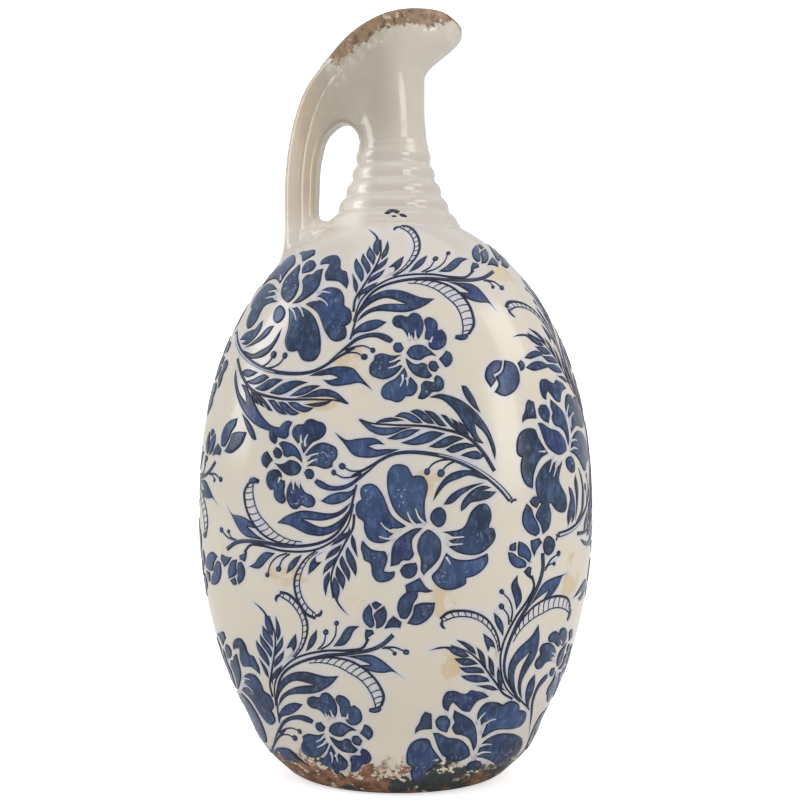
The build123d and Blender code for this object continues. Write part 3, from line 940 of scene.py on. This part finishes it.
def make_body_skin(material):
    rings = body_rings()
    count = len(rings)
    outer = rings[:OUTER_ROWS].reshape(-1, 3)
    rings[:OUTER_ROWS] = wear_body(outer).reshape(OUTER_ROWS, COLUMNS, 3)
    points = rings.reshape(-1, 3)
    faces = []
    for i in range(count):
        low, high = i * COLUMNS, (i + 1) % count * COLUMNS
        for j in range(COLUMNS):
            k = (j + 1) % COLUMNS
            faces.append((high + j, high + k, low + k, low + j))
    cloud = np.concatenate(edge_cloud)
    tree = kdtree.KDTree(len(cloud))
    for i, point in enumerate(cloud.tolist()):
        tree.insert(point, i)
    tree.balance()
    near = np.full(len(points), NEAR_LIMIT)
    for i, point in enumerate(points[:OUTER_ROWS * COLUMNS].tolist()):
        near[i] = min(NEAR_LIMIT, tree.find(point)[2])
    stain = np.zeros(len(points))
    for along, up, half_along, half_up in STAINS:
        centre = on_body(np.array([along]), np.array([up]), 0)[0]
        level = np.hypot(points[:, 0] - centre[0], points[:, 1] - centre[1]) / half_along
        stain = np.maximum(stain, np.exp(-level ** 2 - ((points[:, 2] - centre[2]) / half_up) ** 2))
    values = {"near": near, "stain": stain}
    piece = make_piece("body_skin", points, faces, material, values)
    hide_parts("body_front", "body_back", "base_slab")


# ---- materials ----------------------------------------------------------------------------


def colour(red, green, blue):
    """A colour from 0-255 display values."""
    linear = []
    for value in (red, green, blue):
        v = value / 255
        linear.append(v / 12.92 if v <= 0.04045 else ((v + 0.055) / 1.055) ** 2.4)
    return (*linear, 1.0)


class Shader:
    """A small helper that adds nodes to one material."""

    def __init__(self, name):
        self.material = bpy.data.materials.new(name)
        self.material.use_nodes = True
        self.tree = self.material.node_tree
        self.surface = self.tree.nodes["Principled BSDF"]
        self.place = self.add("ShaderNodeTexCoord").outputs["Object"]
        parts = self.add("ShaderNodeSeparateXYZ", {0: self.place})
        self.across, self.height = parts.outputs["X"], parts.outputs["Z"]

    def add(self, kind, inputs=None, **settings):
        node = self.tree.nodes.new(kind)
        for key, value in settings.items():
            setattr(node, key, value)
        for key, value in (inputs or {}).items():
            if isinstance(value, bpy.types.NodeSocket):
                self.tree.links.new(value, node.inputs[key])
            else:
                node.inputs[key].default_value = value
        return node

    def noise(self, scale, detail=2.0, seed=0.0, stretch=None, rough=0.5):
        place = self.place
        if stretch:
            place = self.add("ShaderNodeMapping", {"Vector": place, "Scale": stretch}).outputs[0]
        inputs = {"Vector": place, "Scale": scale, "Detail": detail, "W": seed, "Roughness": rough}
        return self.add("ShaderNodeTexNoise", inputs, noise_dimensions="4D").outputs["Fac"]

    def value(self, name):
        return self.add("ShaderNodeAttribute", attribute_name=name).outputs["Fac"]

    def step(self, value, low, high, start=0.0, end=1.0):
        inputs = {"Value": value, "From Min": low, "From Max": high, "To Min": start, "To Max": end}
        return self.add("ShaderNodeMapRange", inputs, interpolation_type="SMOOTHSTEP").outputs["Result"]

    def sum(self, a, b, operation="ADD"):
        return self.add("ShaderNodeMath", {0: a, 1: b}, operation=operation).outputs[0]

    def times(self, a, b):
        return self.sum(a, b, "MULTIPLY")

    def blend(self, share, a, b):
        inputs = {"Factor": share, 6: a, 7: b}
        return self.add("ShaderNodeMix", inputs, data_type="RGBA").outputs[2]

    def bump(self, height, distance, strength=1.0):
        inputs = {"Height": height, "Distance": distance, "Strength": strength}
        self.surface_input("Normal", self.add("ShaderNodeBump", inputs).outputs["Normal"])

    def surface_input(self, name, value):
        if isinstance(value, bpy.types.NodeSocket):
            self.tree.links.new(value, self.surface.inputs[name])
        else:
            self.surface.inputs[name].default_value = value


def worn_band(shader, base, roughness, band_shift=0.0):
    """Bare brown clay with dark green patches and glaze flecks below a ragged line at the foot."""
    ragged = shader.sum(shader.noise(34, 7, 3.1, rough=0.72), shader.times(shader.noise(300, 4, 1.9), 0.25))
    line = shader.sum(shader.times(shader.sum(ragged, -0.625), 0.065), (BAND_TOP + band_shift) * MM)
    rise = shader.sum(shader.height, line, "SUBTRACT")
    mask = shader.step(rise, -0.0008, 0.0004, 1.0, 0.0)
    grit = shader.step(shader.noise(190, 6, 1.2, rough=0.7), 0.32, 0.68)
    clay = shader.blend(grit, colour(62, 38, 26), colour(166, 118, 86))
    dark = shader.blend(shader.noise(240, 4, 2.2), colour(14, 22, 24), colour(58, 70, 66))
    patch = shader.sum(shader.noise(44, 4, 8.4, rough=0.6), shader.times(shader.across, 1.7))
    clay = shader.blend(shader.step(patch, 0.5, 0.545), clay, dark)
    fleck = shader.sum(shader.noise(190, 4, 5.7, rough=0.65), shader.step(rise, -0.007, 0.0, 0.0, 0.07))
    fleck = shader.step(fleck, 0.575, 0.605)
    spread = shader.step(shader.noise(50, 2, 9.9), 0.36, 0.48)
    clay = shader.blend(shader.times(fleck, spread), clay, colour(216, 204, 184))
    rust = shader.times(shader.step(rise, 0.0, 0.006, 1.0, 0.0), shader.step(shader.noise(220, 5, 6.6), 0.5, 0.6))
    base = shader.blend(shader.times(rust, 0.75), base, colour(122, 92, 66))
    return shader.blend(mask, base, clay), shader.step(mask, 0, 1, roughness, 0.5), mask


def cream_glaze(name):
    """Warm cream glaze: stains, a bluish halo round the painting, a worn foot and a worn rim, and painted light and
    shade on the collar, neck and handle.
    """
    s = Shader(name)
    base = s.blend(s.noise(14, 3, 0.5), colour(203, 193, 175), colour(211, 202, 185))
    base = s.blend(s.step(s.height, 0.22, 0.28), base, colour(192, 183, 174))
    # painted light: the collar's left side is painted lighter, standing in for the bright light and reflections on
    # it
    painted_light_left_of_collar = s.times(s.step(s.across, -0.004, -0.014), s.step(s.height, 0.268, 0.285))
    base = s.blend(s.times(painted_light_left_of_collar, 0.9), base, colour(226, 218, 207))
    # painted shade: the upper neck and spout are painted a darker grey, standing in for the shade under the spout's
    # flare
    painted_shade_grey = s.blend(s.noise(60, 5, 4.4, rough=0.7), colour(156, 148, 131), colour(182, 171, 155))
    base = s.blend(s.step(s.height, 0.308, 0.336), base, painted_shade_grey)
    # painted light: the spout's side towards the lip is painted lighter, standing in for the light on that side of
    # the neck
    painted_light_lip_side = s.times(s.step(s.across, -0.006, 0.013), s.step(s.height, 0.3, 0.33))
    base = s.blend(s.times(painted_light_lip_side, 0.7), base, colour(205, 196, 182))
    # painted shade: the handle is painted a darker warm tan, standing in for the shade on its inner side, which
    # faces the neck
    strap = s.times(s.step(s.across, -0.034, -0.042), s.step(s.height, 0.272, 0.304))
    tan = s.blend(s.noise(50, 4, 6.9, rough=0.65), colour(166, 146, 124), colour(196, 180, 158))
    base = s.blend(strap, base, tan)
    # painted light: the handle's outer part is painted lighter again, standing in for the light falling on its
    # outer face
    back = s.times(s.step(s.across, -0.044, -0.052), s.step(s.height, 0.272, 0.304))
    base = s.blend(s.times(back, 0.6), base, colour(206, 194, 176))
    haze = s.step(s.noise(150, 5, 10.4, rough=0.7), 0.48, 0.62)
    near_rim = s.step(s.value("rim"), 0.05, 0.5)
    base = s.blend(s.times(s.times(haze, near_rim), 0.75), base, colour(206, 196, 184))
    near = s.value("near")
    halo = s.times(s.step(near, 0.2, 5.0, 1.0, 0.0), s.step(s.noise(60, 3, 7.7), 0.35, 0.7, 0.2, 0.6))
    base = s.blend(halo, base, colour(196, 196, 202))
    ring = s.times(s.step(near, 0.1, 1.3, 1.0, 0.0), s.step(s.noise(90, 3, 4.9), 0.35, 0.65, 0.15, 0.75))
    base = s.blend(ring, base, colour(160, 172, 204))
    ragged = s.times(s.value("stain"), s.step(s.noise(95, 5, 9.2, rough=0.62), 0.38, 0.62, 0.15, 1.2))
    base = s.blend(s.step(ragged, 0.18, 0.6, 0.0, 0.75), base, colour(196, 174, 136))
    faint = s.times(s.step(s.noise(17, 5, 12.0), 0.56, 0.72), s.step(s.noise(150, 4, 2.9), 0.45, 0.65))
    base = s.blend(s.times(faint, 0.4), base, colour(200, 176, 138))
    streak = s.step(s.noise(60, 2, 1.5, stretch=(1, 1, 0.08)), 0.45, 0.75)
    base = s.blend(s.times(streak, 0.10), base, colour(196, 186, 178))
    speck = s.step(s.noise(420, 2, 6.3), 0.73, 0.77)
    base = s.blend(s.times(speck, 0.6), base, colour(120, 96, 76))
    base, rough, mask = worn_band(s, base, 0.16)
    grain = s.sum(s.noise(85, 6, 3.3, rough=0.75), s.times(s.noise(520, 3, 5.1), 0.45))
    tip = s.step(s.across, 0.022, 0.034, 0.0, -0.3)
    rim = s.sum(s.sum(s.value("rim"), tip), s.sum(grain, -0.725))
    worn = s.step(rim, 0.50, 0.60)
    brown = s.blend(s.step(s.noise(230, 6, 7.1, rough=0.7), 0.3, 0.7), colour(84, 58, 42), colour(172, 138, 106))
    brown = s.blend(s.times(s.step(s.noise(60, 3, 11.5), 0.48, 0.6), 0.6), brown, colour(128, 104, 68))
    brown = s.blend(s.times(s.step(s.noise(300, 4, 5.2), 0.56, 0.62), 0.8), brown, colour(66, 46, 34))
    brown = s.blend(s.times(s.step(s.noise(300, 4, 2.6), 0.6, 0.66), 0.7), brown, colour(206, 190, 168))
    base = s.blend(s.times(worn, 0.92), base, brown)
    lip = s.times(s.step(s.value("rim"), 0.90, 0.96), s.step(s.noise(90, 4, 1.3), 0.35, 0.6))
    base = s.blend(s.times(lip, 0.85), base, colour(112, 74, 60))
    worn = s.times(worn, s.step(s.value("rim"), 0.02, 0.1))
    rough = s.sum(rough, s.times(worn, 0.35))
    s.surface_input("Base Color", base)
    s.surface_input("Roughness", s.sum(rough, s.times(s.noise(30, 2, 2.0), 0.06)))
    gloss = s.step(s.height, 0.2, 0.26, 0.15, 0.6)
    s.surface_input("Coat Weight", s.times(gloss, s.step(s.sum(mask, worn), 0, 1, 1.0, 0.0)))
    s.surface_input("Coat Roughness", 0.07)
    lumps = s.sum(s.noise(45, 2, 1.1), s.times(s.noise(420, 5, 3.8), s.sum(s.times(s.sum(mask, worn), 1.2), 0.03)))
    s.bump(lumps, 0.0006, 0.5)
    return s.material


def blue_glaze(name):
    """Cobalt brushwork: mottled blue, darker at its edge partly as the brush's own rim and partly as painted shade
    for the relief, with pale specks and worn through at the foot.
    """
    s = Shader(name)
    edge, tint = s.value("edge"), s.value("tint")
    wash = s.noise(70, 5, 2.5, rough=0.65)
    base = s.blend(s.step(wash, 0.36, 0.66), colour(16, 27, 54), colour(46, 68, 110))
    broad = s.step(s.noise(16, 2, 9.1), 0.44, 0.62)
    base = s.blend(s.times(broad, 0.5), base, colour(66, 90, 130))
    base = s.blend(s.step(tint, 0.6, 1.0, 0.0, 0.6), base, colour(30, 46, 68))
    base = s.blend(s.step(tint, 0.25, 0.0, 0.0, 0.5), base, colour(38, 46, 98))
    teal = s.times(s.step(s.noise(24, 2, 5.5), 0.5, 0.64), 0.6)
    base = s.blend(teal, base, colour(34, 50, 62))
    bristle = s.step(s.noise(330, 5, 4.1, stretch=(1, 1, 0.5), rough=0.7), 0.46, 0.66)
    base = s.blend(s.times(bristle, 0.42), base, colour(92, 114, 152))
    # painted shade: the dark edge is partly the brushwork's own darker rim and partly painted shade standing in for
    # the shade round the raised relief
    base = s.blend(s.step(edge, 0.25, 1.2, 0.92, 0.0), base, colour(6, 12, 36))
    patch = s.step(s.noise(75, 3, 8.8), 0.52, 0.66)
    speck = s.times(s.step(s.noise(620, 3, 7.4, rough=0.6), 0.58, 0.63), s.step(edge, 0.9, 2.2))
    base = s.blend(s.times(s.times(speck, patch), 0.75), base, colour(158, 170, 196))
    base, rough, mask = worn_band(s, base, 0.2, -6.0)
    s.surface_input("Base Color", base)
    s.surface_input("Roughness", s.sum(rough, s.times(wash, 0.08)))
    s.surface_input("Specular IOR Level", 0.38)
    s.bump(s.sum(s.noise(300, 3, 1.9), s.times(mask, 0.5)), 0.0003, 0.4)
    return s.material


# ---- stage, light and camera --------------------------------------------------------------
VIEW_AZIMUTH = math.radians(12)
VIEW_DISTANCE = 0.85
VIEW_HEIGHT = 0.205
LENS, SENSOR = 73.7, 36.0
LEAN = math.radians(0.315)
SHIFT = (0.0066, -0.0293)


def seen_from(azimuth, distance, height):
    """A place round the vase: azimuth in degrees from the front towards the lip, lengths in metres."""
    angle = math.radians(azimuth)
    return (math.sin(angle) * distance, -math.cos(angle) * distance, height)


def make_camera():
    data = bpy.data.cameras.new("camera")
    data.lens, data.sensor_width = LENS, SENSOR
    data.shift_x, data.shift_y = SHIFT
    camera = bpy.data.objects.new("camera", data)
    camera.location = seen_from(math.degrees(VIEW_AZIMUTH), VIEW_DISTANCE, VIEW_HEIGHT)
    camera.rotation_euler = (math.pi / 2, LEAN, VIEW_AZIMUTH)
    bpy.context.scene.collection.objects.link(camera)
    bpy.context.scene.camera = camera


def make_light(name, spot, aim, width, height, watts, tone=(1.0, 1.0, 1.0)):
    """A soft rectangular light at a spot, turned to its aim."""
    data = bpy.data.lights.new(name, "AREA")
    data.shape, data.size, data.size_y = "RECTANGLE", width, height
    data.energy, data.color = watts, tone
    light = bpy.data.objects.new(name, data)
    light.location = spot
    direction = np.array(aim) - np.array(spot)
    light.rotation_euler = Vector(direction).to_track_quat("-Z", "Y").to_euler()
    bpy.context.scene.collection.objects.link(light)


def make_stage():
    """A pale floor that curves up into a backdrop all round, as one bowl."""
    radii = (0, 0.6, 1.2, 1.8, 2.4, 2.9, 3.2, 3.3)
    rises = (0, 0, 0, 0, 0.08, 0.4, 1.0, 2.4)
    steps = 64
    points, faces = [], []
    for radius, rise in zip(radii, rises):
        for i in range(steps):
            angle = 2 * math.pi * i / steps
            points.append((max(radius, 0.01) * math.cos(angle), max(radius, 0.01) * math.sin(angle), rise - 0.0002))
    for r in range(len(radii) - 1):
        for i in range(steps):
            j = (i + 1) % steps
            faces.append((r * steps + i, r * steps + j, (r + 1) * steps + j, (r + 1) * steps + i))
    faces.append(tuple(reversed(range(steps))))
    mesh = bpy.data.meshes.new("stage_bowl")
    mesh.from_pydata(points, [], faces)
    mesh.polygons.foreach_set("use_smooth", [True] * len(mesh.polygons))
    paper = bpy.data.materials.new("stage_paper")
    paper.use_nodes = True
    surface = paper.node_tree.nodes["Principled BSDF"]
    seen = paper.node_tree.nodes.new("ShaderNodeLightPath").outputs["Is Camera Ray"]
    for name, away, direct in (("Base Color", 0.82, 0.93), ("Emission Strength", 0.0, 0.6)):
        level = paper.node_tree.nodes.new("ShaderNodeMapRange")
        level.inputs["To Min"].default_value, level.inputs["To Max"].default_value = away, direct
        paper.node_tree.links.new(seen, level.inputs["Value"])
        paper.node_tree.links.new(level.outputs["Result"], surface.inputs[name])
    surface.inputs["Emission Color"].default_value = (1, 1, 1, 1)
    surface.inputs["Roughness"].default_value = 0.95
    surface.inputs["Specular IOR Level"].default_value = 0.1
    mesh.materials.append(paper)
    bowl = bpy.data.objects.new("stage_bowl", mesh)
    bpy.context.scene.collection.objects.link(bowl)


def make_light_setup():
    """An even white room, with a window to the right, a taller and brighter one to the left, a narrow one low at
    the right for the neck, and a broad light overhead.
    """
    world = bpy.data.worlds.new("room")
    world.use_nodes = True
    background = world.node_tree.nodes["Background"]
    background.inputs["Color"].default_value = (1.0, 1.0, 1.0, 1)
    background.inputs["Strength"].default_value = 0.87
    bpy.context.scene.world = world
    middle = (0, 0, 0.2)
    make_light("window_right", seen_from(76, 1.3, 1.15), middle, 0.75, 0.6, 3.6, (1.0, 0.98, 0.95))
    make_light("window_left", seen_from(-72, 1.5, 0.75), middle, 0.6, 1.1, 7.0, (0.96, 0.98, 1.0))
    make_light("window_neck", seen_from(50, 1.3, 0.44), (0, 0, 0.34), 0.5, 0.64, 3.4)
    make_light("sky_top", (0, -0.2, 2.1), middle, 1.6, 1.6, 6.0)


# ---- build --------------------------------------------------------------------------------
cream = cream_glaze("cream_glaze")
blue = blue_glaze("blue_glaze")
paint_sprays(blue, cream)
paint_extra_bud(blue)
paint_collar_mark(blue)
make_body_skin(cream)
make_neck_skin(cream)
make_stage()
make_light_setup()
make_camera()
bpy.context.scene.view_settings.view_transform = "Standard"
